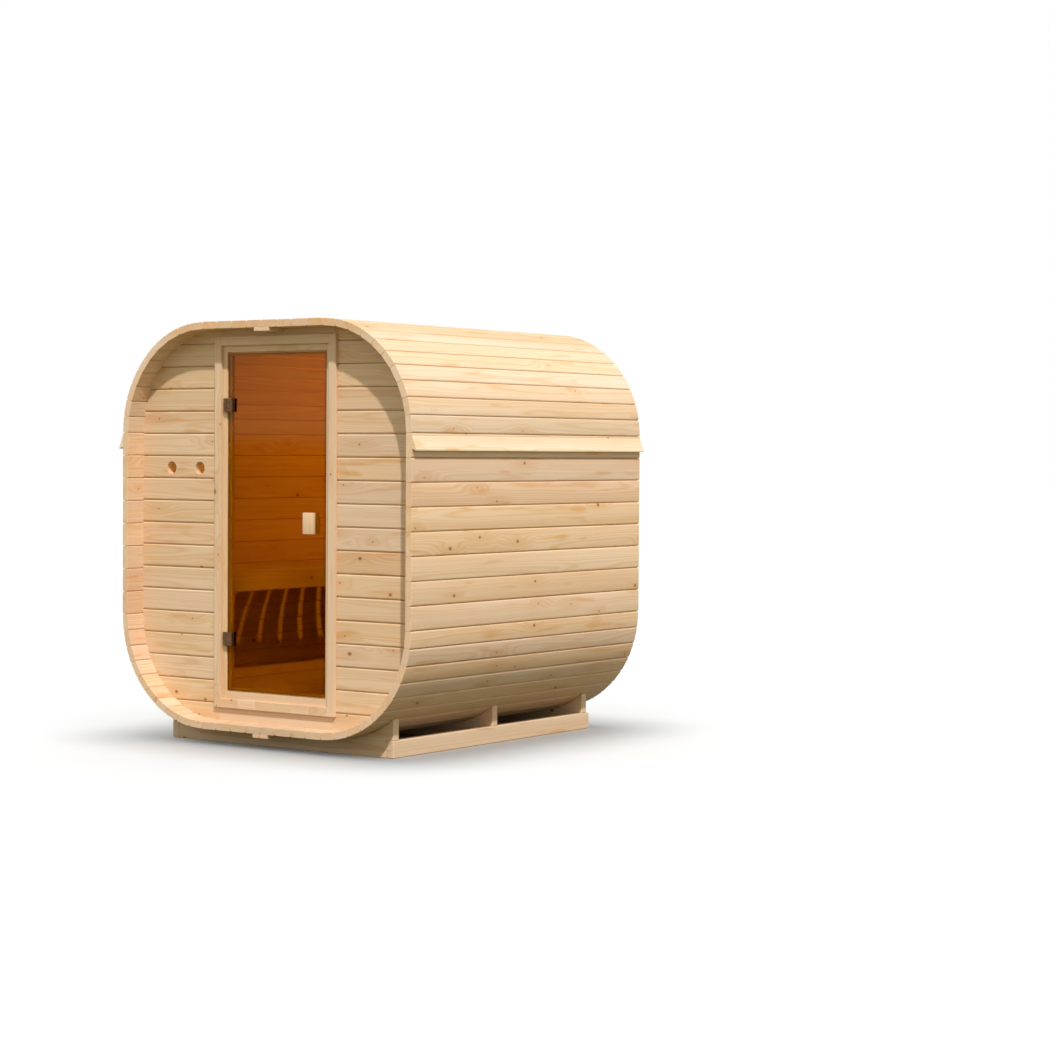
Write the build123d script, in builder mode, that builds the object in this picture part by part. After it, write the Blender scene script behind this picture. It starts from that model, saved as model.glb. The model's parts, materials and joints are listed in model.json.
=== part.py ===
from build123d import *
import os
from math import ceil, cos, radians, sin

# Barrel sauna with a rounded-square shell of wooden staves on a low timber base.
# Millimetres, Z up, front towards -Y, origin on the ground under the middle of the shell.

# Shell of staves
shell_width = 1944
shell_height = 2100
shell_length = 2022
shell_lift = 80
corner_radius = 570
stave_thickness = 38
joint_bevel = 3
corner_staves = 10
side_staves = 8
roof_staves = 8

# Laths over the joints where the two halves of the shell meet
lath_width = 100
lath_height = 19

# Drip boards along both sides, hung from the top of the flat side
drip_drop = 12
drip_height = 74
drip_reach = 25
drip_nose = 7
drip_undercut = 9

# End walls, set back into the shell
wall_recess = 116
wall_thickness = 38
wall_board_pitch = 116.5

# Round vents in one board of the front wall
vent_diameter = 65
vent_drop = 754
vent_from_board_edge = 54
vent_door_gap = 143
vent_spacing = 201

# Glass door
glass_width = 656
glass_thickness = 8
door_threshold = 160
door_head_room = 123
glass_setback = 2
door_gap = 6

# Door frame and its casing
frame_face_width = 27
head_face_height = 34
sill_face_height = 39
frame_stop_width = 18
stop_gap = 5
casing_width = 46
casing_thickness = 18
casing_cover = 22

# Hinges
hinge_height = 70
hinge_end_inset = 266
hinge_axis_inset = 4
hinge_axis_forward = 12
knuckle_radius = 8
pin_radius = 3.5
pin_clearance = 0.3
knuckle_gap = 1
leaf_gap = 2
bracket_width = 18
clamp_width = 38
clamp_front_thickness = 22
clamp_back_thickness = 8
clamp_back_clearance = 6
hinge_edge_round = 3

# Handles
handle_width = 70
handle_height = 109
handle_thickness = 22
handle_rise = 5
handle_standoff = 3
handle_edge_inset = 60
handle_round = 4
washer_radius = 9
washer_spacing = 64

# Bench along the left side
bench_height = 767
bench_depth = 534
bench_apron_height = 108
bench_board_thickness = 22
bench_bearer_size = 40
bench_slat_width = 93
bench_slat_gap = 32

# Timber base
runner_width = 45
runner_height = 88
base_half_width = 746
base_setback = 149
cradle_thickness = 46
rear_cradle_inset = 25

# Cuts run past the solid by this much
overrun = 20

# Places worked out from the sizes above
corner_x = shell_width / 2 - corner_radius
corner_low_z = shell_lift + corner_radius
corner_high_z = shell_lift + shell_height - corner_radius
corner_step = 90 / corner_staves
shell_top = shell_lift + shell_height
shell_mid_z = shell_lift + shell_height / 2
inner_half_width = shell_width / 2 - stave_thickness
inner_bottom = shell_lift + stave_thickness
inner_top = shell_top - stave_thickness
wall_front_y = -shell_length / 2 + wall_recess
wall_back_y = wall_front_y + wall_thickness
glass_front_y = wall_front_y + glass_setback
glass_back_y = glass_front_y + glass_thickness
glass_bottom = inner_bottom + door_threshold
glass_top = inner_top - door_head_room
glass_mid_z = (glass_bottom + glass_top) / 2
opening_half_width = glass_width / 2 + door_gap
opening_bottom = glass_bottom - door_gap
opening_top = glass_top + door_gap
frame_half_width = opening_half_width + frame_face_width + casing_cover
frame_bottom = opening_bottom - sill_face_height - casing_cover
frame_top = opening_top + head_face_height + casing_cover
casing_inner_half = opening_half_width + frame_face_width
casing_inner_bottom = opening_bottom - sill_face_height
casing_inner_top = opening_top + head_face_height
hinge_x = -glass_width / 2 - hinge_axis_inset
hinge_y = wall_front_y - hinge_axis_forward
cabin_half_length = -wall_back_y
base_half_length = shell_length / 2 - base_setback

os.makedirs("parts", exist_ok=True)


def save(piece, label):
    piece.part.label = label
    export_step(piece.part, f"parts/{label}.step")


def shell_outline(inset):
    """Points of the faceted rounded square, this far in from the outer face."""
    radius = corner_radius - inset
    points = []
    for quarter in range(4):
        centre_x = corner_x if quarter in (0, 3) else -corner_x
        centre_z = corner_high_z if quarter in (0, 1) else corner_low_z
        for step in range(corner_staves + 1):
            angle = radians(90 * quarter + corner_step * step)
            points.append((centre_x + radius * cos(angle), centre_z + radius * sin(angle)))
    return points


def stave_section(inner_half, outer_half, thickness):
    """Section of one stave: inner face on x = 0, outer face one thickness out, bevelled edges."""
    lean = (outer_half - inner_half) / thickness * joint_bevel
    upper = [
        (0, inner_half - joint_bevel),
        (joint_bevel, inner_half + lean),
        (thickness - joint_bevel, outer_half - lean),
        (thickness, outer_half - joint_bevel),
    ]
    lower = [(x, -y) for x, y in reversed(upper)]
    return upper + lower


# Flat runs of staves: both sides, the roof and the floor
side_pitch = (corner_high_z - corner_low_z) / side_staves
roof_pitch = 2 * corner_x / roof_staves
flat_runs = [
    ("right_side_staves", 0, side_staves, side_pitch, inner_half_width),
    ("roof_staves", 90, roof_staves, roof_pitch, shell_height / 2 - stave_thickness),
    ("left_side_staves", 180, side_staves, side_pitch, inner_half_width),
    ("floor_staves", 270, roof_staves, roof_pitch, shell_height / 2 - stave_thickness),
]
for label, turn, count, pitch, inner_face in flat_runs:
    outward = (cos(radians(turn)), 0, sin(radians(turn)))
    run_plane = Plane((0, 0, shell_mid_z), x_dir=outward, z_dir=(0, -1, 0))
    with BuildPart() as stave_run:
        with BuildSketch(run_plane):
            with Locations((inner_face, 0)):
                with GridLocations(0, pitch, 1, count):
                    Polygon(*stave_section(pitch / 2, pitch / 2, stave_thickness), align=None)
        extrude(amount=shell_length / 2, both=True)
    save(stave_run, label)

# Round corners: flat staves set round an arc, each tapered to the next
corners = [
    ("upper_right_corner_staves", 0, corner_x, corner_high_z),
    ("upper_left_corner_staves", 90, -corner_x, corner_high_z),
    ("lower_left_corner_staves", 180, -corner_x, corner_low_z),
    ("lower_right_corner_staves", 270, corner_x, corner_low_z),
]
half_step = radians(corner_step / 2)
corner_inner_radius = corner_radius - stave_thickness
corner_section = stave_section(
    corner_inner_radius * sin(half_step),
    corner_radius * sin(half_step),
    stave_thickness * cos(half_step),
)
corner_inner_face = corner_inner_radius * cos(half_step)
for label, turn, centre_x, centre_z in corners:
    corner_plane = Plane((centre_x, 0, centre_z), x_dir=(1, 0, 0), z_dir=(0, -1, 0))
    with BuildPart() as corner:
        with BuildSketch(corner_plane):
            with PolarLocations(corner_inner_face, corner_staves, turn + corner_step / 2, 90):
                Polygon(*corner_section, align=None)
        extrude(amount=shell_length / 2, both=True)
    save(corner, label)

# Laths that cover the middle joints, under the roof in both recesses and under the floor
with BuildPart() as roof_lath:
    for end_y in (-shell_length / 2 + wall_recess / 2, shell_length / 2 - wall_recess / 2):
        with Locations((0, end_y, inner_top)):
            Box(lath_width, wall_recess, lath_height, align=(Align.CENTER, Align.CENTER, Align.MAX))
save(roof_lath, "roof_joint_laths")

with BuildPart() as floor_lath:
    with Locations((0, 0, shell_lift)):
        Box(lath_width, shell_length, lath_height, align=(Align.CENTER, Align.CENTER, Align.MAX))
save(floor_lath, "floor_joint_lath")

# Drip boards: a sloping top, a blunt nose and an undercut, fixed on the side staves
drip_top = corner_high_z - drip_drop
drip_bottom = drip_top - drip_height
for label, side in (("right_drip_board", 1), ("left_drip_board", -1)):
    side_x = side * shell_width / 2
    nose_x = side * (shell_width / 2 + drip_reach)
    with BuildPart() as drip_board:
        with BuildSketch(Plane.XZ):
            with BuildLine():
                Polyline(
                    (side_x, drip_top),
                    (nose_x, drip_bottom + drip_nose),
                    (nose_x, drip_bottom),
                    (side_x, drip_bottom + drip_undercut),
                    close=True,
                )
            make_face()
        extrude(amount=shell_length / 2, both=True)
    save(drip_board, label)

# Level wall boards, laid from the vent board up and down past the shell, with the same bevelled joints
vent_height = shell_top - vent_drop
vent_board_bottom = vent_height - vent_from_board_edge
vent_board_top = vent_board_bottom + wall_board_pitch
boards_below = ceil((vent_board_bottom - shell_lift) / wall_board_pitch)
boards_above = ceil((shell_top - vent_board_bottom) / wall_board_pitch)
board_section = stave_section(wall_board_pitch / 2, wall_board_pitch / 2, wall_thickness)
vent_board_middle = vent_board_bottom + wall_board_pitch / 2
board_middles = [
    vent_board_middle + step * wall_board_pitch for step in range(-boards_below, boards_above)
]


def board_wall(front_y, left_x, right_x, low_z, high_z):
    """Part of an end wall between these edges, fitted to the inside of the shell."""
    with BuildPart() as wall:
        with BuildSketch(Plane.YZ):
            with Locations(*[(front_y, middle) for middle in board_middles]):
                Polygon(*board_section, align=None)
        extrude(amount=shell_width / 2, both=True)
        with BuildSketch(Plane.XZ.offset(-front_y - wall_thickness)):
            Polygon(*shell_outline(stave_thickness), align=None)
            with Locations(((left_x + right_x) / 2, (low_z + high_z) / 2)):
                Rectangle(right_x - left_x, high_z - low_z, mode=Mode.INTERSECT)
        extrude(amount=wall_thickness, mode=Mode.INTERSECT)
    return wall


# Front wall, split beside, over and under the doorway
wall_panels = [
    ("front_wall_left_lower", -inner_half_width, -frame_half_width, inner_bottom, vent_board_bottom),
    ("front_wall_left_upper", -inner_half_width, -frame_half_width, vent_board_top, inner_top),
    ("front_wall_right", frame_half_width, inner_half_width, inner_bottom, inner_top),
    ("front_wall_over_door", -frame_half_width, frame_half_width, frame_top, inner_top),
    ("front_wall_under_door", -frame_half_width, frame_half_width, inner_bottom, frame_bottom),
]
for label, left_x, right_x, low_z, high_z in wall_panels:
    save(board_wall(wall_front_y, left_x, right_x, low_z, high_z), label)

# One board left of the door holds the two vents
vent_board = board_wall(wall_front_y, -inner_half_width, -frame_half_width, vent_board_bottom, vent_board_top)
vent_x = -frame_half_width - vent_door_gap
with BuildPart() as front_vent_board:
    add(vent_board.part)
    with Locations(Plane.XZ.offset(-wall_front_y)):
        with Locations((vent_x, vent_height), (vent_x - vent_spacing, vent_height)):
            Hole(vent_diameter / 2)
save(front_vent_board, "front_vent_board")

# Back wall, as deep in the shell as the front wall
save(board_wall(-wall_back_y, -inner_half_width, inner_half_width, inner_bottom, inner_top), "back_wall")

# Door frame flush with the wall, and the stop strips that the door closes against
rebate_depth = glass_setback + glass_thickness + stop_gap
stop_front_y = wall_front_y + rebate_depth
stop_half_width = opening_half_width - frame_stop_width
stop_bottom = opening_bottom + frame_stop_width
stop_top = opening_top - frame_stop_width
frame_boards = [
    ("left_jamb", -frame_half_width, -opening_half_width, frame_bottom, frame_top, wall_front_y),
    ("right_jamb", opening_half_width, frame_half_width, frame_bottom, frame_top, wall_front_y),
    ("door_head", -opening_half_width, opening_half_width, opening_top, frame_top, wall_front_y),
    ("door_sill", -opening_half_width, opening_half_width, frame_bottom, opening_bottom, wall_front_y),
    ("left_door_stop", -opening_half_width, -stop_half_width, opening_bottom, opening_top, stop_front_y),
    ("right_door_stop", stop_half_width, opening_half_width, opening_bottom, opening_top, stop_front_y),
    ("head_door_stop", -stop_half_width, stop_half_width, stop_top, opening_top, stop_front_y),
    ("sill_door_stop", -stop_half_width, stop_half_width, opening_bottom, stop_bottom, stop_front_y),
]
for label, left_x, right_x, low_z, high_z, front_y in frame_boards:
    with BuildPart() as board:
        with BuildSketch(Plane.XZ.offset(-wall_back_y)):
            with Locations(((left_x + right_x) / 2, (low_z + high_z) / 2)):
                Rectangle(right_x - left_x, high_z - low_z)
        extrude(amount=wall_back_y - front_y)
    save(board, label)

# Casing on the wall face round the frame
casing_half_width = casing_inner_half + casing_width
casing_bottom = casing_inner_bottom - casing_width
casing_top = casing_inner_top + casing_width
casing_boards = [
    ("left_casing", -casing_half_width, -casing_inner_half, casing_bottom, casing_top),
    ("right_casing", casing_inner_half, casing_half_width, casing_bottom, casing_top),
    ("head_casing", -casing_inner_half, casing_inner_half, casing_inner_top, casing_top),
    ("sill_casing", -casing_inner_half, casing_inner_half, casing_bottom, casing_inner_bottom),
]
for label, left_x, right_x, low_z, high_z in casing_boards:
    with BuildPart() as casing:
        with BuildSketch(Plane.XZ.offset(-wall_front_y)):
            with Locations(((left_x + right_x) / 2, (low_z + high_z) / 2)):
                Rectangle(right_x - left_x, high_z - low_z)
        extrude(amount=casing_thickness)
    save(casing, label)

# Glass pane of the door
with BuildPart() as door_glass:
    with BuildSketch(Plane.XZ.offset(-glass_back_y)):
        with Locations((0, glass_mid_z)):
            Rectangle(glass_width, glass_top - glass_bottom)
    extrude(amount=glass_thickness)
save(door_glass, "door_glass")

# Hinges: a bracket on the jamb carries the pin, a clamp on the glass turns round it
hinge_levels = (glass_bottom + hinge_end_inset, glass_top - hinge_end_inset)
knuckle_height = (hinge_height - 2 * knuckle_gap) / 3
bracket_left_x = hinge_x - bracket_width
clamp_left_x = hinge_x + knuckle_radius + leaf_gap
clamp_right_x = clamp_left_x + clamp_width
with BuildPart() as hinge_brackets:
    for level in hinge_levels:
        low_z = level - hinge_height / 2
        with BuildSketch(Plane.XY.offset(low_z)):
            with Locations((bracket_left_x, wall_front_y)):
                Rectangle(bracket_width, hinge_axis_forward, align=(Align.MIN, Align.MAX))
            with Locations((hinge_x, hinge_y)):
                Circle(knuckle_radius)
        extrude(amount=hinge_height)
        with BuildSketch(Plane.XY.offset(low_z + knuckle_height)):
            with Locations((hinge_x, hinge_y)):
                Rectangle(2 * (knuckle_radius + leaf_gap), 2 * (hinge_axis_forward + overrun))
        extrude(amount=knuckle_height + 2 * knuckle_gap, mode=Mode.SUBTRACT)
        with BuildSketch(Plane.XY.offset(low_z)):
            with Locations((hinge_x, hinge_y)):
                Circle(pin_radius)
        extrude(amount=hinge_height)
save(hinge_brackets, "hinge_brackets")

with BuildPart() as hinge_clamps:
    for level in hinge_levels:
        with BuildSketch(Plane.XY.offset(level - hinge_height / 2)):
            with Locations((clamp_left_x, glass_front_y)):
                Rectangle(clamp_width, clamp_front_thickness, align=(Align.MIN, Align.MAX))
        extrude(amount=hinge_height)
    fillet(hinge_clamps.edges().group_by(Axis.Y)[0], hinge_edge_round)
    for level in hinge_levels:
        with BuildSketch(Plane.XY.offset(level - knuckle_height / 2)):
            with Locations((hinge_x, hinge_y)):
                Circle(knuckle_radius)
                Rectangle(
                    knuckle_radius + leaf_gap + hinge_edge_round,
                    knuckle_radius,
                    align=(Align.MIN, Align.CENTER),
                )
                Circle(pin_radius + pin_clearance, mode=Mode.SUBTRACT)
        extrude(amount=knuckle_height)
save(hinge_clamps, "hinge_clamps")

with BuildPart() as hinge_back_plates:
    back_left_x = -opening_half_width + frame_stop_width + clamp_back_clearance
    for level in hinge_levels:
        with BuildSketch(Plane.XY.offset(level - hinge_height / 2)):
            with Locations((back_left_x, glass_back_y)):
                Rectangle(
                    clamp_right_x - back_left_x,
                    clamp_back_thickness,
                    align=(Align.MIN, Align.MIN),
                )
        extrude(amount=hinge_height)
save(hinge_back_plates, "hinge_back_plates")

# Handles: a wooden block on two washers, on both faces of the glass
handle_x = glass_width / 2 - handle_edge_inset - handle_width / 2
handle_z = glass_mid_z + handle_rise
handles = [
    ("outer_handle", Plane((handle_x, glass_front_y, handle_z), x_dir=(1, 0, 0), z_dir=(0, -1, 0))),
    ("inner_handle", Plane((handle_x, glass_back_y, handle_z), x_dir=(-1, 0, 0), z_dir=(0, 1, 0))),
]
for label, glass_face in handles:
    with BuildPart() as handle:
        with BuildSketch(glass_face.offset(handle_standoff)):
            Rectangle(handle_width, handle_height)
        extrude(amount=handle_thickness)
        fillet(handle.edges(), handle_round)
        with BuildSketch(glass_face):
            with GridLocations(0, washer_spacing, 1, 2):
                Circle(washer_radius)
        extrude(amount=handle_standoff)
    save(handle, label)

# Bench along the left side: as many cross slats as fit, on two bearers behind an apron
bench_back_x = -inner_half_width
slat_front_x = bench_back_x + bench_depth - bench_board_thickness
bench_top = inner_bottom + bench_height
bearer_top = bench_top - bench_board_thickness
slat_pitch = bench_slat_width + bench_slat_gap
slat_count = int((2 * cabin_half_length + bench_slat_gap) // slat_pitch)
with BuildPart() as bench_slat_row:
    with BuildSketch(Plane.XY.offset(bearer_top)):
        with Locations(((bench_back_x + slat_front_x) / 2, 0)):
            with GridLocations(0, slat_pitch, 1, slat_count):
                Rectangle(slat_front_x - bench_back_x, bench_slat_width)
    extrude(amount=bench_board_thickness)
save(bench_slat_row, "bench_slats")

with BuildPart() as bench_apron:
    with Locations((slat_front_x, 0, bench_top)):
        Box(
            bench_board_thickness,
            2 * cabin_half_length,
            bench_apron_height,
            align=(Align.MIN, Align.CENTER, Align.MAX),
        )
save(bench_apron, "bench_apron")

with BuildPart() as bench_bearers:
    with Locations((bench_back_x, 0, bearer_top), (slat_front_x - bench_bearer_size, 0, bearer_top)):
        Box(
            bench_bearer_size,
            2 * cabin_half_length,
            bench_bearer_size,
            align=(Align.MIN, Align.CENTER, Align.MAX),
        )
save(bench_bearers, "bench_bearers")

# Base: two runners, and three cradles cut to the curve of the shell and lapped over the runners
for label, side in (("left_runner", -1), ("right_runner", 1)):
    with BuildPart() as runner:
        with Locations((side * (base_half_width - runner_width / 2), 0, 0)):
            Box(
                runner_width,
                2 * base_half_length,
                runner_height,
                align=(Align.CENTER, Align.CENTER, Align.MIN),
            )
    save(runner, label)

front_cradle_y = -base_half_length + cradle_thickness / 2
rear_cradle_y = base_half_length - rear_cradle_inset - cradle_thickness / 2
cradles = [
    ("front_cradle", front_cradle_y),
    ("middle_cradle", (front_cradle_y + rear_cradle_y) / 2),
    ("rear_cradle", rear_cradle_y),
]
for label, cradle_y in cradles:
    with BuildPart() as cradle:
        with BuildSketch(Plane.XZ.offset(-cradle_y)):
            Rectangle(2 * base_half_width, corner_low_z, align=(Align.CENTER, Align.MIN))
            Polygon(*shell_outline(0), align=None, mode=Mode.SUBTRACT)
            with Locations((0, shell_lift)):
                Rectangle(
                    lath_width,
                    lath_height,
                    align=(Align.CENTER, Align.MAX),
                    mode=Mode.SUBTRACT,
                )
            for side in (-1, 1):
                with Locations((side * (base_half_width - runner_width / 2), 0)):
                    Rectangle(
                        runner_width,
                        runner_height,
                        align=(Align.CENTER, Align.MIN),
                        mode=Mode.SUBTRACT,
                    )
        extrude(amount=cradle_thickness / 2, both=True)
    save(cradle, label)
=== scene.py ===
import json
import math
import random

import bmesh
import bpy
from mathutils import Matrix, Vector


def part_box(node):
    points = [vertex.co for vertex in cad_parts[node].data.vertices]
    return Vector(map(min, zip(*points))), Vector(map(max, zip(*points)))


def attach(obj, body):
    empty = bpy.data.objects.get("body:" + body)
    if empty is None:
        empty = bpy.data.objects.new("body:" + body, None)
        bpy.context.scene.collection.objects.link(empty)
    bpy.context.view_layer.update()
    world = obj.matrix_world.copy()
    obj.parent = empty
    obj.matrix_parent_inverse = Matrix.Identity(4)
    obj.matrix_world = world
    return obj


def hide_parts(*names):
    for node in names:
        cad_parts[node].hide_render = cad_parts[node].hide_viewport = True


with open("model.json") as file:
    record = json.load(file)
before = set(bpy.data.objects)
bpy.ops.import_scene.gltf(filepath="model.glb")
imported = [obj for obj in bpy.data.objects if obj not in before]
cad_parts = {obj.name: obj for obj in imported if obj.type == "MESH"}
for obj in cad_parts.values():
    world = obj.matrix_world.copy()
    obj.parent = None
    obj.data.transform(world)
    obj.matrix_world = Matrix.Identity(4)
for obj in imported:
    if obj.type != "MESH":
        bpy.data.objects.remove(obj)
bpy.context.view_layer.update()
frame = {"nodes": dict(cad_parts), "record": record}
chance = random.Random(27)

# Sizes are in metres and angles in degrees. The places of the pieces come from the solids of the frame.

# Axes
X = 0
Y = 1
Z = 2

# Staves and wall boards
corner_staves = 10
side_staves = 8
roof_staves = 8
joint_gap = 0.001
joint_bevel = 0.008
inner_bevel = 0.0035
end_bevel = 0.0012
tongue_inset = 0.006
stave_set_back = 0.0009
stave_shortfall = 0.0016
wall_set_back = 0.0007
trim_overrun = 0.1

# Vents
vent_radius = 0.0325
vent_arris = 0.0015
vent_edge_reach = 0.034
vent_sides = 48
drill_length = 0.2

# Eased edges of the planed boards
arris_steps = 2
frame_arris = 0.0018
lath_arris = 0.0015
drip_arris = 0.0012
bench_arris = 0.003
bearer_arris = 0.002
base_arris = 0.004

# Sill board, glued up from short lengths
sill_blocks = 6
sill_arris = 0.0015
sill_joint_arris = 0.0003

# Bench
slat_width = 0.093
slat_gap = 0.032

# Handles
handle_thickness = 0.022
handle_round = 0.004
washer_radius = 0.009
washer_rise = 0.032
washer_arris = 0.001
washer_sides = 28

# Hinge screws
clamp_width = 0.038
clamp_half_height = 0.035
screw_radius = 0.0048
screw_length = 0.003
screw_stand = 0.0002
screw_rise = 0.019
screw_edge = 0.0006
screw_dome = 0.0005
screw_sides = 20
socket_rim = 0.0019
socket_depth = 0.0014

# How edges, faces and rows are told apart: shares of a whole, a turn in radians and small distances
straight = 0.999
facing = 0.98
row_share = 0.1
square_turn = 1.4
hair = 0.00001
slack = 0.001

# Tracing of solids, and smooth shading
merge_distance = 0.00002
flat_angle = 0.5
arris_angle = 40
smooth_angle = 16

# Where in a trunk a board may come from
trunk_length = 60
trunk_off_centre = 0.07
trunk_nearest = 0.04
trunk_farthest = 0.15


# Hand tools

def start(name, low, high):
    """A block between two corners, ready to be shaped."""
    bpy.ops.object.select_all(action="DESELECT")
    bpy.ops.mesh.primitive_cube_add(size=1, location=[(a + b) / 2 for a, b in zip(low, high)])
    piece = bpy.context.object
    piece.name = piece.data.name = name
    piece.scale = [b - a for a, b in zip(low, high)]
    bpy.ops.object.transform_apply(location=True, rotation=True, scale=True)
    return piece


def turn_rod(name, radius, length, middle, sides):
    """A round rod along Y, ready to be shaped."""
    bpy.ops.object.select_all(action="DESELECT")
    bpy.ops.mesh.primitive_cylinder_add(
        vertices=sides, radius=radius, depth=length, location=middle, rotation=(math.pi / 2, 0, 0)
    )
    rod = bpy.context.object
    rod.name = rod.data.name = name
    bpy.ops.object.transform_apply(location=True, rotation=True, scale=True)
    return rod


def pick(piece, kind, test):
    """Opens a piece in edit mode, with the edges or faces that pass the test selected."""
    if bpy.context.mode == "OBJECT":
        bpy.ops.object.select_all(action="DESELECT")
        piece.select_set(True)
        bpy.context.view_layer.objects.active = piece
        bpy.ops.object.mode_set(mode="EDIT")
    bpy.ops.mesh.select_mode(type=kind)
    bpy.ops.mesh.select_all(action="DESELECT")
    mesh = bmesh.from_edit_mesh(piece.data)
    for part in mesh.edges if kind == "EDGE" else mesh.faces:
        if test(part):
            part.select_set(True)
    mesh.select_flush_mode()
    bmesh.update_edit_mesh(piece.data)


def close():
    """Leaves edit mode."""
    bpy.ops.object.mode_set(mode="OBJECT")


def runs_along(edge, axis):
    """True for an edge that lies along this axis."""
    way = edge.verts[1].co - edge.verts[0].co
    return abs(way[axis]) > straight * way.length


def is_square(edge):
    """True for an edge between two faces that stand square to each other."""
    return len(edge.link_faces) == 2 and edge.calc_face_angle() > square_turn


def ease(piece, width, steps=arris_steps, test=lambda edge: True):
    """Rounds off the edges of a piece that pass the test."""
    pick(piece, "EDGE", test)
    bpy.ops.mesh.bevel(offset=width, segments=steps, affect="EDGES")
    close()


def raise_tongue(piece, test, way):
    """Lifts a tongue out of the face that passes the test, to close the joint to the next board."""
    pick(piece, "FACE", test)
    bpy.ops.mesh.inset(thickness=tongue_inset)
    bpy.ops.mesh.extrude_region_move(TRANSFORM_OT_translate={"value": way})
    close()


def cut(piece, tool, operation):
    """Cuts a piece with another one."""
    bpy.context.view_layer.objects.active = piece
    knife = piece.modifiers.new("cut", "BOOLEAN")
    knife.operation = operation
    knife.solver = "EXACT"
    knife.object = tool
    bpy.ops.object.modifier_apply(modifier="cut")


def figure(piece, along, face):
    """Gives a board its own place in a trunk: along it, across it and in from the bark."""
    across = ({X, Y, Z} - {along, face}).pop()
    trunk_along = chance.uniform(0, trunk_length)
    trunk_across = chance.uniform(-trunk_off_centre, trunk_off_centre)
    trunk_depth = chance.choice((-1, 1)) * chance.uniform(trunk_nearest, trunk_farthest)
    corners = [Vector(corner) for corner in piece.bound_box]
    middle = sum(corners, Vector()) / len(corners)
    places = []
    for point in piece.data.vertices:
        local = point.co - middle
        places += [local[along] + trunk_along, local[across] + trunk_across, local[face] + trunk_depth]
    grain = piece.data.attributes.new("grain", "FLOAT_VECTOR", "POINT")
    grain.data.foreach_set("vector", places)
    tone = piece.data.attributes.new("tone", "FLOAT", "POINT")
    tone.data.foreach_set("value", [chance.random()] * len(piece.data.vertices))
    return piece


def lay(pattern, move, along, face):
    """A copy of a modelled board with its own figure, put in its place."""
    board = bpy.data.objects.new(pattern.name, pattern.data.copy())
    bpy.context.collection.objects.link(board)
    figure(board, along, face)
    board.data.transform(move)
    return board


def gather(name, boards):
    """Boards joined into one named piece."""
    bpy.ops.object.select_all(action="DESELECT")
    for board in boards:
        board.select_set(True)
    bpy.context.view_layer.objects.active = boards[0]
    if len(boards) > 1:
        bpy.ops.object.join()
    boards[0].name = boards[0].data.name = name
    return boards[0]


def away(*tools):
    """Deletes patterns and tools that have done their work."""
    for tool in tools:
        bpy.data.objects.remove(tool)


def fit(piece, body, finish, slot, *nodes):
    """Hangs a piece on its body, gives it its finish and lets it stand for its solids."""
    piece.data.materials.clear()
    piece.data.materials.append(finish)
    bpy.ops.object.select_all(action="DESELECT")
    piece.select_set(True)
    bpy.context.view_layer.objects.active = piece
    bpy.ops.object.shade_smooth_by_angle(angle=math.radians(smooth_angle))
    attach(piece, body)
    if nodes:
        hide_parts(*nodes)


def trace(node, width):
    """A copy of a solid, merged, with its sharp edges eased."""
    piece = bpy.data.objects.new(node + "_board", frame["nodes"][node].data.copy())
    bpy.context.collection.objects.link(piece)
    piece.data.materials.clear()
    pick(piece, "FACE", lambda face: True)
    bpy.ops.mesh.remove_doubles(threshold=merge_distance)
    bpy.ops.mesh.dissolve_limited(angle_limit=math.radians(flat_angle))
    close()
    plane = piece.modifiers.new("ease", "BEVEL")
    plane.width = width
    plane.segments = arris_steps
    plane.limit_method = "ANGLE"
    plane.angle_limit = math.radians(arris_angle)
    bpy.ops.object.modifier_apply(modifier="ease")
    return piece


def planed(node, along, face, width):
    """A board with the size and place of its solid, and eased edges."""
    board = start(node + "_planed", *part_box(node))
    ease(board, width)
    return figure(board, along, face)


# Finishes

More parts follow.
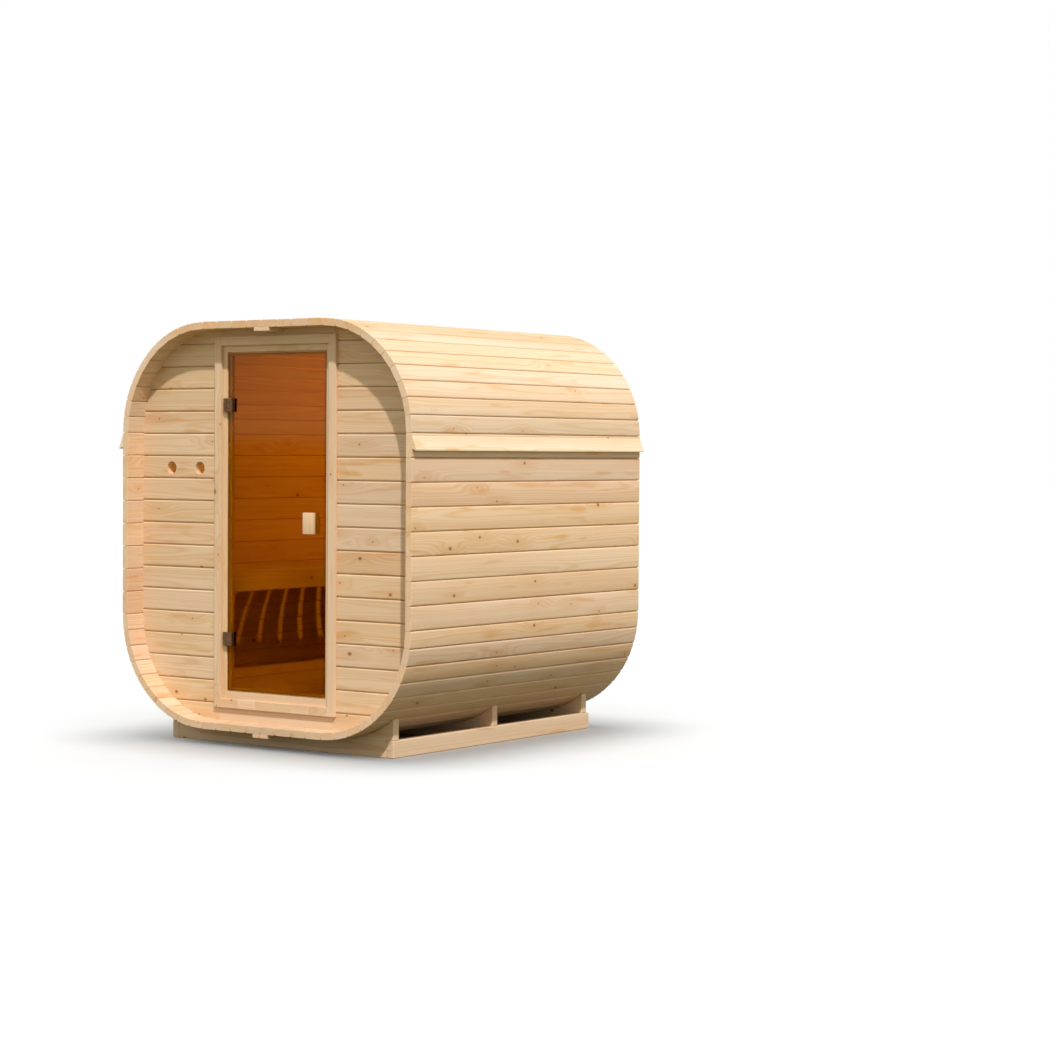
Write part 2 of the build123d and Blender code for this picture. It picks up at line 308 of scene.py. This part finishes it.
class Wire:
    """One output of a node. Sums on it add Math nodes to its material."""

    def __init__(self, tree, socket=None):
        self.tree = tree
        self.socket = socket

    def node(self, kind, settings, sockets, output=0):
        """Adds a node with these settings, and a value or a wire for each of these sockets."""
        made = self.tree.nodes.new("ShaderNode" + kind)
        for key, value in settings.items():
            setattr(made, key, value)
        for key, value in sockets.items():
            if isinstance(value, Wire):
                self.tree.links.new(value.socket, made.inputs[key])
            else:
                made.inputs[key].default_value = value
        return Wire(self.tree, made.outputs[output])

    def other(self, output):
        """Another output of the same node."""
        return Wire(self.tree, self.socket.node.outputs[output])

    def math(self, operation, *values):
        return self.node("Math", {"operation": operation}, dict(enumerate(values)))

    def vector(self, operation, *values):
        return self.node("VectorMath", {"operation": operation}, dict(enumerate(values)))

    def __add__(self, value):
        return self.math("ADD", self, value)

    def __radd__(self, value):
        return self.math("ADD", value, self)

    def __sub__(self, value):
        return self.math("SUBTRACT", self, value)

    def __rsub__(self, value):
        return self.math("SUBTRACT", value, self)

    def __mul__(self, value):
        return self.math("MULTIPLY", self, value)

    def __rmul__(self, value):
        return self.math("MULTIPLY", value, self)

    def __truediv__(self, value):
        return self.math("DIVIDE", self, value)

    def __pow__(self, value):
        return self.math("POWER", self, value)

    def __gt__(self, value):
        return self.math("GREATER_THAN", self, value)

    def stretch(self, x, y, z):
        """A vector or a colour with its three parts scaled."""
        return self.vector("MULTIPLY", self, (x, y, z))

    def length(self):
        return self.vector("LENGTH", self).other("Value")

    def part(self, axis):
        """One of the three parts of a vector."""
        return self.node("SeparateXYZ", {}, {0: self}, axis)

    def noise(self, scale, detail=2.0, rough=0.5):
        sockets = {"Vector": self, "Scale": scale, "Detail": detail, "Roughness": rough}
        return self.node("TexNoise", {}, sockets)

    def ramp(self, low, high):
        """Eases from 0 at low to 1 at high."""
        sockets = {"Value": self, "From Min": low, "From Max": high}
        return self.node("MapRange", {"interpolation_type": "SMOOTHSTEP"}, sockets)

    def mix(self, first, second):
        """A colour between two, by this factor. A Mix node has colours at sockets 6 and 7 and output 2."""
        return self.node("Mix", {"data_type": "RGBA"}, {0: self, 6: first, 7: second}, 2)

    def lead(self, shader, socket):
        """Leads this output into a socket of a shader or of the material's own output."""
        self.tree.links.new(self.socket, shader.inputs[socket])


def new_finish(name):
    """A material, its shader and a wire to add its nodes with."""
    finish = bpy.data.materials.new(name)
    finish.use_nodes = True
    return finish, finish.node_tree.nodes["Principled BSDF"], Wire(finish.node_tree)


# Figure of the wood. Its scales are times per metre along a board, across it and into it.
ring_pitch = 0.0052
ring_wander = 0.036
band_scale = 70
wander_scale = (0.55, 4, 4)
fibre_scale = (5, 380, 380)
cloud_scale = (0.9, 6, 6)
flame_scale = (3.2, 24, 24)
grain_depth = 0.0008
# Tint of the painted shade on the roof boards, which the tops of the upper corner staves take on
painted_shade_tint = (0.943, 0.83, 0.71)

# Knots
knot_scale = 4.4
knot_sheet = (0.75, 1, 0)
knot_smallest = 0.005
knot_spread = 0.009
swirl_sheet = (0.35, 1, 0)
swirl_reach = 0.03
swirl_push = 0.014
heart_brown = (0.075, 0.03, 0.014, 1)


def knot_figure(make, place, rarity):
    """Knots strewn over the boards: their round, their dark heart and the swirl of rings beside them."""
    sheet = place.stretch(*knot_sheet)
    spot = make.node(
        "TexVoronoi",
        {"voronoi_dimensions": "2D", "feature": "F1"},
        {"Vector": sheet, "Scale": knot_scale, "Randomness": 1.0},
        "Position",
    )
    # The random colour of a cell is its luck: red says whether it has a knot, green how big the knot is
    luck = make.node("SeparateColor", {}, {0: spot.other("Color")}, 0)
    there = luck > rarity
    aside = make.vector("SUBTRACT", sheet, spot)
    radius = luck.other(1) ** 2.0 * knot_spread + knot_smallest
    reach = aside.length() / radius
    core = reach.ramp(1.05, 0.7) * there
    heart = reach.ramp(0.6, 0.2) * there
    distance = aside.stretch(*swirl_sheet).length() / swirl_reach
    swirl = make.math("EXPONENT", distance ** 2.0 * -1.0) * there
    return core, heart, swirl


def wood(name, pale, warm, rough=0.62, rarity=0.48, painted_shade_band=None):
    """Planed wood: growth rings of one trunk, fibres, knots and a tone for each board.

    The share of its knots that rarity gives is left out. Between the two heights of the band, if any,
    it darkens to the warmer tint of the roof boards, a painted shade.
    """
    finish, shader, make = new_finish(name)
    place = make.node("Attribute", {"attribute_name": "grain"}, {}, "Vector")
    tone = make.node("Attribute", {"attribute_name": "tone"}, {}, "Fac")
    core, heart, swirl = knot_figure(make, place, rarity)

    # Rings round the middle of the trunk, with their late wood, and noise of several lengths
    wander = place.stretch(*wander_scale).noise(1.0, 3.0) - 0.5
    ring = place.stretch(0, 1, 1).length() + wander * ring_wander + swirl * swirl_push
    late = (make.math("SINE", ring * (2 * math.pi / ring_pitch)) * 0.5 + 0.5) ** 3.0
    band_sockets = {"W": ring * band_scale, "Scale": 1.0, "Detail": 2.0}
    bands = make.node("TexNoise", {"noise_dimensions": "1D"}, band_sockets)
    fibre = place.stretch(*fibre_scale).noise(1.0, 2.0)
    cloud = place.stretch(*cloud_scale).noise(1.0, 3.0, 0.6)
    flame = place.stretch(*flame_scale).noise(1.0, 1.0).ramp(0.62, 0.77)

    # Colour
    amber = (warm[0] * 0.93, warm[1] * 0.8, warm[2] * 0.62, 1)
    knot_brown = (warm[0] * 0.55, warm[1] * 0.36, warm[2] * 0.26, 1)
    colour = (cloud.ramp(0.3, 0.7) * 0.55 + bands.ramp(0.35, 0.7) * 0.45).mix((*pale, 1), (*warm, 1))
    colour = (late * (bands * 0.85 + 0.12)).mix(colour, amber)
    colour = (flame * 0.85 + swirl * 0.5).mix(colour, amber)
    colour = ((fibre - 0.5) * 0.5).mix(colour, amber)
    board_tone = {
        "Hue": make.math("FRACT", tone * 3.1) * 0.007 + 0.4962,
        "Saturation": tone * 0.14 + 0.93,
        "Value": make.math("FRACT", tone * 7.3) * 0.08 + 0.96,
        "Color": colour,
    }
    colour = make.node("HueSaturation", {}, board_tone)
    # Painted shade near the top: between the two heights the colour darkens to the tint of the roof boards
    if painted_shade_band:
        height = make.node("TexCoord", {}, {}, "Object").part(Z)
        colour = height.ramp(*painted_shade_band).mix(colour, colour.stretch(*painted_shade_tint))
    colour = (core * 0.75).mix(colour, knot_brown)
    (heart * 0.8).mix(colour, heart_brown).lead(shader, "Base Color")

    # Surface
    (fibre * 0.16 - core * 0.12 + (rough - 0.08)).lead(shader, "Roughness")
    relief = late * 0.5 + fibre * 0.6 - core * 0.4
    bump = make.node("Bump", {}, {"Strength": 0.3, "Distance": grain_depth, "Height": relief})
    bump.lead(shader, "Normal")
    shader.inputs["Specular IOR Level"].default_value = 0.3
    return finish


# Lacquer of the hinges
lacquer_dark = (0.115, 0.055, 0.022, 1)
lacquer_worn = (0.18, 0.088, 0.034, 1)
wear_scale = 90
speck_scale = 1400
speck_depth = 0.0002


def bronze_metal(name):
    """Dark bronze lacquer on the hinges, worn a little paler in places."""
    finish, shader, make = new_finish(name)
    place = make.node("TexCoord", {}, {}, "Object")
    wear = place.noise(wear_scale, 4.0, 0.6)
    speck = place.noise(speck_scale, 2.0)
    wear.ramp(0.35, 0.75).mix(lacquer_dark, lacquer_worn).lead(shader, "Base Color")
    (wear * 0.2 + speck * 0.12 + 0.26).lead(shader, "Roughness")
    bump = make.node("Bump", {}, {"Strength": 0.15, "Distance": speck_depth, "Height": speck})
    bump.lead(shader, "Normal")
    shader.inputs["Metallic"].default_value = 0.8
    return finish


# Glass of the door
pane_tint = (0.69, 0.42, 0.02, 1)
pane_smeared = (0.66, 0.40, 0.02, 1)
# Darker along the pane's edges: partly the glass's own dark edge, partly painted shade of the stops behind
# it
pane_edge_tint_and_shade = (0.44, 0.3, 0.05, 1)
pane_edge_width = 0.018
smear_stretch = (3, 1, 1.2)
smear_scale = 2.2
film_low = 1.54
film_high = 1.7


def bronze_pane(name):
    """Bronze toughened glass, darker along its edges with painted shade and its own dark edge, with faint
    smears and dried steam high up.
    """
    finish, shader, make = new_finish(name)
    place = make.node("TexCoord", {}, {}, "Object")
    low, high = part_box("door_glass")
    smear = place.stretch(*smear_stretch).noise(smear_scale, 4.0, 0.6)
    tint = smear.ramp(0.3, 0.8).mix(pane_tint, pane_smeared)
    from_middle = make.vector("ABSOLUTE", make.vector("SUBTRACT", place, (low + high) / 2))
    inside = make.vector("SUBTRACT", (high - low) / 2, from_middle)
    # Painted shade along the sides, top and bottom, together with the glass's own dark edge
    edge = make.math("MINIMUM", inside.part(X), inside.part(Z)).ramp(pane_edge_width, 0.0)
    edge.mix(tint, pane_edge_tint_and_shade).lead(shader, "Base Color")
    film = (place.part(Z) + smear * 0.08).ramp(film_low, film_high)
    (film * 0.25).lead(shader, "Coat Weight")
    shader.inputs["Coat Roughness"].default_value = 0.12
    shader.inputs["Roughness"].default_value = 0.0
    shader.inputs["Transmission Weight"].default_value = 1.0
    shader.inputs["IOR"].default_value = 1.05
    return finish


# The finishes of this part, each wood with its pale and its warm tone
# Heights over which the upper corner staves fade into the painted shade of the roof boards
painted_shade_heights = (2.05, 2.17)
stave_finish = wood("planed_stave_spruce", (0.775, 0.551, 0.38), (0.705, 0.455, 0.272))
# Upper corner staves: the same spruce made paler, a painted light on the upper corners
upper_stave_painted_light = wood(
    "painted_light_upper_spruce", (0.79, 0.59, 0.43), (0.72, 0.495, 0.31), rarity=0.7, painted_shade_band=painted_shade_heights
)
# Roof boards: the same spruce made darker and warmer, a painted shade on the top of the shell
roof_stave_painted_shade = wood("painted_shade_roof_spruce", (0.745, 0.49, 0.305), (0.68, 0.41, 0.22))
# Floor staves: the same spruce in a darker tone
floor_finish = wood("darker_floor_stave_spruce", (0.695, 0.50, 0.335), (0.63, 0.41, 0.24))
wall_finish = wood("planed_wall_spruce", (0.735, 0.525, 0.348), (0.665, 0.435, 0.257), rarity=0.38)
frame_finish = wood("door_frame_spruce", (0.76, 0.54, 0.36), (0.69, 0.46, 0.28), rarity=0.25)
trim_finish = wood("drip_board_spruce", (0.81, 0.67, 0.53), (0.75, 0.56, 0.38), rarity=0.66)
bench_finish = wood("bench_aspen", (0.735, 0.55, 0.36), (0.675, 0.48, 0.29), rarity=0.9)
base_finish = wood("base_timber_spruce", (0.79, 0.575, 0.395), (0.71, 0.475, 0.295), rough=0.7, rarity=0.5)
handle_finish = wood("handle_beech", (0.80, 0.57, 0.365), (0.75, 0.50, 0.29), rough=0.5, rarity=1.1)
hinge_finish = bronze_metal("hinge_bronze")
pane_finish = bronze_pane("bronze_toughened_glass")


# Shell: flat staves on the sides, roof and floor, tapered ones round the corners

roof_low, roof_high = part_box("roof_staves")
side_low, side_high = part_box("right_side_staves")
floor_low, floor_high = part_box("floor_staves")
shell_length = roof_high.y - roof_low.y
stave_thickness = roof_high.z - roof_low.z
shell_half_width = side_high.x
shell_middle = (roof_high.z + floor_low.z) / 2
shell_half_height = roof_high.z - shell_middle
side_pitch = (side_high.z - side_low.z) / side_staves
roof_pitch = (roof_high.x - roof_low.x) / roof_staves
corner_radius = shell_half_width - roof_high.x
inner_radius = corner_radius - stave_thickness
half_step = math.radians(45 / corner_staves)


def model_stave(name, outer, inner, thickness):
    """One stave at the origin along Y, outer face up, with eased edges and a tongue."""
    end = shell_length / 2

    def on_outer_face(edge):
        return runs_along(edge, Y) and edge.verts[0].co.z > -thickness / 2

    def on_inner_face(edge):
        return runs_along(edge, Y) and edge.verts[0].co.z < hair - thickness

    def at_an_end(edge):
        return all(abs(abs(point.co.y) - end) < hair for point in edge.verts)

    stave = start(name, (-outer / 2, -end, -thickness), (outer / 2, end, 0))
    pick(stave, "FACE", lambda face: face.normal.z < -facing)
    bpy.ops.transform.resize(value=(inner / outer, 1, 1))
    close()
    ease(stave, joint_bevel, steps=2, test=on_outer_face)
    ease(stave, inner_bevel, steps=1, test=on_inner_face)
    raise_tongue(stave, lambda face: face.normal.x > facing, (joint_gap, 0, 0))
    ease(stave, end_bevel, steps=1, test=at_an_end)
    return stave


def weathered():
    """The little that a stave falls short of its neighbours and stands back from them."""
    shorter = 1 - chance.uniform(0, stave_shortfall) / shell_length
    set_back = chance.uniform(0, stave_set_back)
    return Matrix.Translation((0, 0, -set_back)) @ Matrix.Diagonal((1, shorter, 1, 1))


side_pattern = model_stave("side_stave", side_pitch - joint_gap, side_pitch - joint_gap, stave_thickness)
roof_pattern = model_stave("roof_stave", roof_pitch - joint_gap, roof_pitch - joint_gap, stave_thickness)
corner_pattern = model_stave(
    "corner_stave",
    2 * corner_radius * math.sin(half_step) - joint_gap,
    2 * inner_radius * math.sin(half_step) - joint_gap,
    stave_thickness * math.cos(half_step),
)

flat_runs = [
    ("right_side_staves", 90, side_pattern, side_pitch, side_staves, shell_half_width, stave_finish),
    ("roof_staves", 0, roof_pattern, roof_pitch, roof_staves, shell_half_height, roof_stave_painted_shade),
    ("left_side_staves", 270, side_pattern, side_pitch, side_staves, shell_half_width, stave_finish),
    ("floor_staves", 180, roof_pattern, roof_pitch, roof_staves, shell_half_height, floor_finish),
]
for node, turn, pattern, pitch, count, outer_face, finish in flat_runs:
    turned = Matrix.Translation((0, 0, shell_middle)) @ Matrix.Rotation(math.radians(turn), 4, "Y")
    run = []
    for step in range(count):
        shift = Matrix.Translation(((step - (count - 1) / 2) * pitch, 0, outer_face))
        run.append(lay(pattern, turned @ shift @ weathered(), Y, Z))
    fit(gather(node + "_run", run), "cabin", finish, "stave_wood", node)

# The upper corners take the paler spruce with painted light, which darkens near the top into the roof's
# painted shade
corners = [
    ("upper_right_corner_staves", 0, roof_high.x, side_high.z, upper_stave_painted_light),
    ("lower_right_corner_staves", 90, roof_high.x, side_low.z, stave_finish),
    ("lower_left_corner_staves", 180, -roof_high.x, side_low.z, stave_finish),
    ("upper_left_corner_staves", 270, -roof_high.x, side_high.z, upper_stave_painted_light),
]
for node, turn, centre_x, centre_z, finish in corners:
    bend = []
    for step in range(corner_staves):
        angle = math.radians(turn + (step + 0.5) * 90 / corner_staves)
        turned = Matrix.Translation((centre_x, 0, centre_z)) @ Matrix.Rotation(angle, 4, "Y")
        shift = Matrix.Translation((0, 0, corner_radius * math.cos(half_step)))
        bend.append(lay(corner_pattern, turned @ shift @ weathered(), Y, Z))
    fit(gather(node + "_bend", bend), "cabin", finish, "stave_wood", node)
away(side_pattern, roof_pattern, corner_pattern)


# End walls: level boards cut to the inside of the shell, in rows that start from the vent board

vent_board_low, vent_board_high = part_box("front_vent_board")
wall_level = vent_board_low.z
wall_pitch = vent_board_high.z - vent_board_low.z
wall_blank = start(
    "wall_blank",
    (stave_thickness - shell_half_width, -shell_length / 2, floor_high.z),
    (shell_half_width - stave_thickness, shell_length / 2, roof_low.z),
)
ease(wall_blank, inner_radius, steps=corner_staves, test=lambda edge: runs_along(edge, Y))


def model_wall_board(low, high, row):
    """One level board with eased edges and a tongue, cut to its part of the wall and to the shell."""
    bottom = wall_level + row * wall_pitch
    top = bottom + wall_pitch
    board_low = (low.x, low.y + chance.uniform(0, wall_set_back), bottom + joint_gap / 2)
    board_high = (high.x, high.y, top - joint_gap / 2)
    board = start("wall_board", board_low, board_high)
    ease(board, joint_bevel, test=lambda edge: runs_along(edge, X))
    raise_tongue(board, lambda face: face.normal.z > facing, (0, 0, joint_gap))
    if bottom < low.z - slack or top > high.z + slack:
        overrun = Vector((trim_overrun, trim_overrun, 0))
        trim = start("trim", low - overrun, high + overrun)
        cut(board, trim, "INTERSECT")
        away(trim)
    if bottom < side_low.z or top > side_high.z:
        cut(board, wall_blank, "INTERSECT")
    return board


def wall_boards(node):
    """The boards of one part of an end wall, from the bottom up."""
    low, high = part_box(node)
    first = math.floor((low.z - wall_level) / wall_pitch + row_share)
    last = math.ceil((high.z - wall_level) / wall_pitch - row_share)
    return [model_wall_board(low, high, row) for row in range(first, last)]


for node in (
    "front_wall_left_lower",
    "front_wall_left_upper",
    "front_wall_right",
    "front_wall_over_door",
    "front_wall_under_door",
    "back_wall",
):
    rows = [figure(board, X, Y) for board in wall_boards(node)]
    fit(gather(node + "_rows", rows), "cabin", wall_finish, "wall_wood", node)

vents = [Vector(mount["pos_m"]) for mount in frame["record"]["mounts"] if mount["kind"] == "bore"]


def rings_a_vent(edge):
    """True for the sharp edges round the vents."""
    distances = [((edge.verts[0].co - vent) * Vector((1, 0, 1))).length for vent in vents]
    return is_square(edge) and min(distances) < vent_edge_reach


vent_row = wall_boards("front_vent_board")[0]
for vent in vents:
    drill = turn_rod("drill", vent_radius, drill_length, vent, vent_sides)
    cut(vent_row, drill, "DIFFERENCE")
    away(drill)
ease(vent_row, vent_arris, test=rings_a_vent)
vent_row = gather("front_vent_row", [figure(vent_row, X, Y)])
fit(vent_row, "cabin", wall_finish, "wall_wood", "front_vent_board")
away(wall_blank)


# Door frame and casing: planed boards with eased edges

for node, along in (
    ("left_jamb", Z),
    ("right_jamb", Z),
    ("door_head", X),
    ("door_sill", X),
    ("left_door_stop", Z),
    ("right_door_stop", Z),
    ("head_door_stop", X),
    ("sill_door_stop", X),
    ("left_casing", Z),
    ("right_casing", Z),
    ("head_casing", X),
):
    fit(planed(node, along, Y, frame_arris), "cabin", frame_finish, "frame_wood", node)

sill_low, sill_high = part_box("sill_casing")
block_width = (sill_high.x - sill_low.x) / sill_blocks
sill = []
for step in range(sill_blocks):
    left = sill_low.x + step * block_width
    block_high = (left + block_width, sill_high.y, sill_high.z)
    block = start("sill_block", (left, sill_low.y, sill_low.z), block_high)
    ease(block, sill_arris, test=lambda edge: runs_along(edge, X))
    ease(block, sill_joint_arris, steps=1, test=lambda edge: not runs_along(edge, X) and is_square(edge))
    sill.append(figure(block, X, Y))
fit(gather("sill_casing_blocks", sill), "cabin", frame_finish, "frame_wood", "sill_casing")


# Drip boards, and the laths over the joints of the shell

for node in ("right_drip_board", "left_drip_board"):
    fit(figure(trace(node, drip_arris), Y, X), "cabin", trim_finish, "trim_wood", node)

fit(planed("floor_joint_lath", Y, Z, lath_arris), "cabin", stave_finish, "trim_wood", "floor_joint_lath")
lath_low, lath_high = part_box("roof_joint_laths")
front_wall_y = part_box("front_wall_right")[0].y
laths = []
for near, far in ((lath_low.y, front_wall_y), (-front_wall_y, lath_high.y)):
    lath = start("roof_lath", (lath_low.x, near, lath_low.z), (lath_high.x, far, lath_high.z))
    ease(lath, lath_arris)
    laths.append(figure(lath, Y, Z))
fit(gather("roof_joint_lath_pair", laths), "cabin", stave_finish, "trim_wood", "roof_joint_laths")


# Bench: cross slats, the apron in front of them and two bearers

slat_low, slat_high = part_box("bench_slats")
slat_pitch = slat_width + slat_gap
slat_count = round((slat_high.y - slat_low.y + slat_gap) / slat_pitch)
slat_pattern = start("bench_slat", slat_low, (slat_high.x, slat_low.y + slat_width, slat_high.z))
ease(slat_pattern, bench_arris)
slats = []
for step in range(slat_count):
    slats.append(lay(slat_pattern, Matrix.Translation((0, step * slat_pitch, 0)), X, Z))
away(slat_pattern)
fit(gather("bench_slat_row", slats), "cabin", bench_finish, "bench_wood", "bench_slats")
fit(planed("bench_apron", Y, X, bench_arris), "cabin", bench_finish, "bench_wood", "bench_apron")

bearer_low, bearer_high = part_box("bench_bearers")
bearer_size = bearer_high.z - bearer_low.z
bearers = []
for left in (bearer_low.x, bearer_high.x - bearer_size):
    corner = (left + bearer_size, bearer_high.y, bearer_high.z)
    bearer = start("bearer", (left, bearer_low.y, bearer_low.z), corner)
    ease(bearer, bearer_arris)
    bearers.append(figure(bearer, Y, Z))
fit(gather("bench_bearer_pair", bearers), "cabin", bench_finish, "bench_wood", "bench_bearers")


# Base: two runners and three cradles

for node in ("left_runner", "right_runner"):
    fit(planed(node, Y, X, base_arris), "cabin", base_finish, "base_wood", node)
for node in ("front_cradle", "middle_cradle", "rear_cradle"):
    fit(figure(trace(node, base_arris), X, Y), "cabin", base_finish, "base_wood", node)


# Handles: a block with rounded edges on two washers

for node, is_outer in (("outer_handle", True), ("inner_handle", False)):
    low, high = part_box(node)
    middle = (low + high) / 2
    standoff = high.y - low.y - handle_thickness
    block_low = low.copy()
    block_high = high.copy()
    if is_outer:
        block_high.y = low.y + handle_thickness
        washer_y = high.y - standoff / 2
    else:
        block_low.y = high.y - handle_thickness
        washer_y = low.y + standoff / 2
    grip = start("grip", block_low, block_high)
    ease(grip, handle_round, steps=3)
    parts = [figure(grip, Z, Y)]
    for rise in (-washer_rise, washer_rise):
        place = (middle.x, washer_y, middle.z + rise)
        washer = turn_rod("washer", washer_radius, standoff, place, washer_sides)
        ease(washer, washer_arris, test=is_square)
        parts.append(figure(washer, Y, Z))
    fit(gather(node + "_grip", parts), "door", handle_finish, "handle_wood", node)


# Hinge screws, with a socket in each head

clamp_low, clamp_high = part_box("hinge_clamps")
screw_x = clamp_high.x - clamp_width / 2
screw_y = clamp_low.y - screw_stand
screws = []
for level in (clamp_low.z + clamp_half_height, clamp_high.z - clamp_half_height):
    for rise in (-screw_rise, screw_rise):
        screw = turn_rod("screw", screw_radius, screw_length, (screw_x, screw_y, level + rise), screw_sides)
        pick(screw, "FACE", lambda face: face.normal.y < -facing)
        bpy.ops.mesh.inset(thickness=screw_edge, depth=screw_dome)
        bpy.ops.mesh.inset(thickness=socket_rim)
        bpy.ops.mesh.extrude_region_move(TRANSFORM_OT_translate={"value": (0, socket_depth, 0)})
        close()
        screws.append(screw)
fit(gather("hinge_screws", screws), "door", hinge_finish, "hinge_metal")


# Pane and hinges: the solids themselves, with a finish

for node, finish in (
    ("door_glass", pane_finish),
    ("hinge_brackets", hinge_finish),
    ("hinge_clamps", hinge_finish),
    ("hinge_back_plates", hinge_finish),
):
    solid = frame["nodes"][node]
    solid.data.materials.clear()
    solid.data.materials.append(finish)


# Floor: white where it is looked at, dull where it sends light back, with painted shade in both close to
# the base

floor_size = 160
floor_white = (0.87, 0.87, 0.916, 1)
floor_glow = 0.38
# Light the floor sends back: darker close to the base, a painted shade of the cabin, and brighter further
# out, a painted stand-in for sunlit ground, since the key light is kept off the floor
painted_shade_bounce = (0.17, 0.17, 0.055, 1)
painted_sunlit_bounce = (0.285, 0.285, 0.10, 1)

# The painted shade thins out from just inside the edges of the base
shade_start = (0.72, 0.84, 0)
shade_reach = 0.8


def is_looked_at(make):
    """1 for what the camera sees straight on, in a gloss or through the glass."""
    path = make.node("LightPath", {}, {}, "Is Camera Ray")
    other_ways = make.math("MAXIMUM", path.other("Is Glossy Ray"), path.other("Is Transmission Ray"))
    return make.math("MAXIMUM", path, other_ways)


def pale_floor(name):
    """Plain pale floor that keeps its soft shade round the base, deepened there by painted shade, and is
    white further out.
    """
    ground = bpy.data.materials.new(name)
    ground.use_nodes = True
    ground.node_tree.nodes.clear()
    make = Wire(ground.node_tree)
    spread = make.vector("ABSOLUTE", make.node("TexCoord", {}, {}, "Object"))
    spread = make.vector("MAXIMUM", make.vector("SUBTRACT", spread, shade_start), (0, 0, 0))
    open_floor = spread.length().ramp(0.0, shade_reach)
    bright = make.node("BsdfDiffuse", {}, {"Color": floor_white})
    glow = make.node("Emission", {}, {"Color": (1, 1, 1, 1), "Strength": floor_glow})
    lit = make.node("AddShader", {}, {0: bright, 1: glow})
    # The glow fades out toward the base, which paints shade there over the floor's own soft shade
    white = make.node("MixShader", {}, {0: open_floor, 1: bright, 2: lit})
    # Painted shade in the light the floor sends back: darker close to the base, brighter further out
    dull = make.node("BsdfDiffuse", {}, {"Color": open_floor.mix(painted_shade_bounce, painted_sunlit_bounce)})
    surface = make.node("MixShader", {}, {0: is_looked_at(make), 1: dull, 2: white})
    surface.lead(make.tree.nodes.new("ShaderNodeOutputMaterial"), "Surface")
    return ground


bpy.ops.object.select_all(action="DESELECT")
bpy.ops.mesh.primitive_plane_add(size=floor_size, location=(0, 0, 0))
floor = bpy.context.object
floor.name = "studio_floor"
floor.data.materials.append(pale_floor("white_floor"))


# World: soft light from all round, white where it is looked at

sky_colour = (0.98, 1.02, 0.98, 1)
sky_strength = 0.79

world = bpy.data.worlds.new("white_studio")
bpy.context.scene.world = world
world.use_nodes = True
world.node_tree.nodes.clear()
sky = Wire(world.node_tree)
soft = sky.node("Background", {}, {"Color": sky_colour, "Strength": sky_strength})
plain = sky.node("Background", {}, {"Color": (1, 1, 1, 1), "Strength": 1.0})
surface = sky.node("MixShader", {}, {0: is_looked_at(sky), 1: soft, 2: plain})
surface.lead(sky.tree.nodes.new("ShaderNodeOutputWorld"), "Surface")


# Key light on the cabin alone, from high at the front right

sun_place = (5, -5, 8)
sun_way = Vector((-1.05, 1, -1.78))
sun_strength = 3.25
sun_spread = 1.6

bpy.ops.object.select_all(action="DESELECT")
bpy.ops.object.light_add(type="SUN", location=sun_place)
sun = bpy.context.object
sun.name = "key_light"
sun.rotation_euler = sun_way.to_track_quat("-Z", "Y").to_euler()
sun.data.energy = sun_strength
sun.data.angle = math.radians(sun_spread)
sun.data.cycles.use_multiple_importance_sampling = False
unlit = bpy.data.collections.new("unlit_by_key")
unlit.objects.link(floor)
sun.light_linking.receiver_collection = unlit
unlit.collection_objects[0].light_linking.link_state = "EXCLUDE"


# Warm light inside the cabin, which falls through the gaps of the bench

lamp_place = Vector((0.62, 0.675, 1.9))
lamp_aim = Vector((-0.93, 0.09, 1.34))
lamp_colour = (1.0, 0.60, 0.20)
lamp_cone = 72
lamp_blend = 0.3
lamp_power = 50.5
lamp_radius = 0.015

bpy.ops.object.light_add(type="SPOT", location=lamp_place)
lamp = bpy.context.object
lamp.name = "cabin_light"
lamp.rotation_euler = (lamp_aim - lamp_place).to_track_quat("-Z", "Y").to_euler()
lamp.data.color = lamp_colour
lamp.data.spot_size = math.radians(lamp_cone)
lamp.data.spot_blend = lamp_blend
lamp.data.energy = lamp_power
lamp.data.shadow_soft_size = lamp_radius


# Camera, at the height and side that the picture was taken from

camera_place = (8.261, -10.268, 1.523)
camera_turn = math.radians(35.556)
camera_tip = math.radians(-1.723)
camera_roll = math.radians(0.378)
sensor_width_mm = 36
lens_mm = 83.67
farthest_view = 400

forward_x = -math.sin(camera_turn) * math.cos(camera_tip)
forward_y = math.cos(camera_turn) * math.cos(camera_tip)
forward = Vector((forward_x, forward_y, math.sin(camera_tip)))
level_right = forward.cross(Vector((0, 0, 1))).normalized()
level_up = level_right.cross(forward)
side_way = level_right * math.cos(camera_roll) + level_up * math.sin(camera_roll)
up_way = level_up * math.cos(camera_roll) - level_right * math.sin(camera_roll)
bpy.ops.object.camera_add(location=camera_place)
camera = bpy.context.object
camera.rotation_euler = Matrix((side_way, up_way, -forward)).transposed().to_euler()
camera.data.sensor_width = sensor_width_mm
camera.data.lens = lens_mm
camera.data.clip_end = farthest_view
bpy.context.scene.camera = camera
bpy.context.scene.view_settings.view_transform = "Standard"
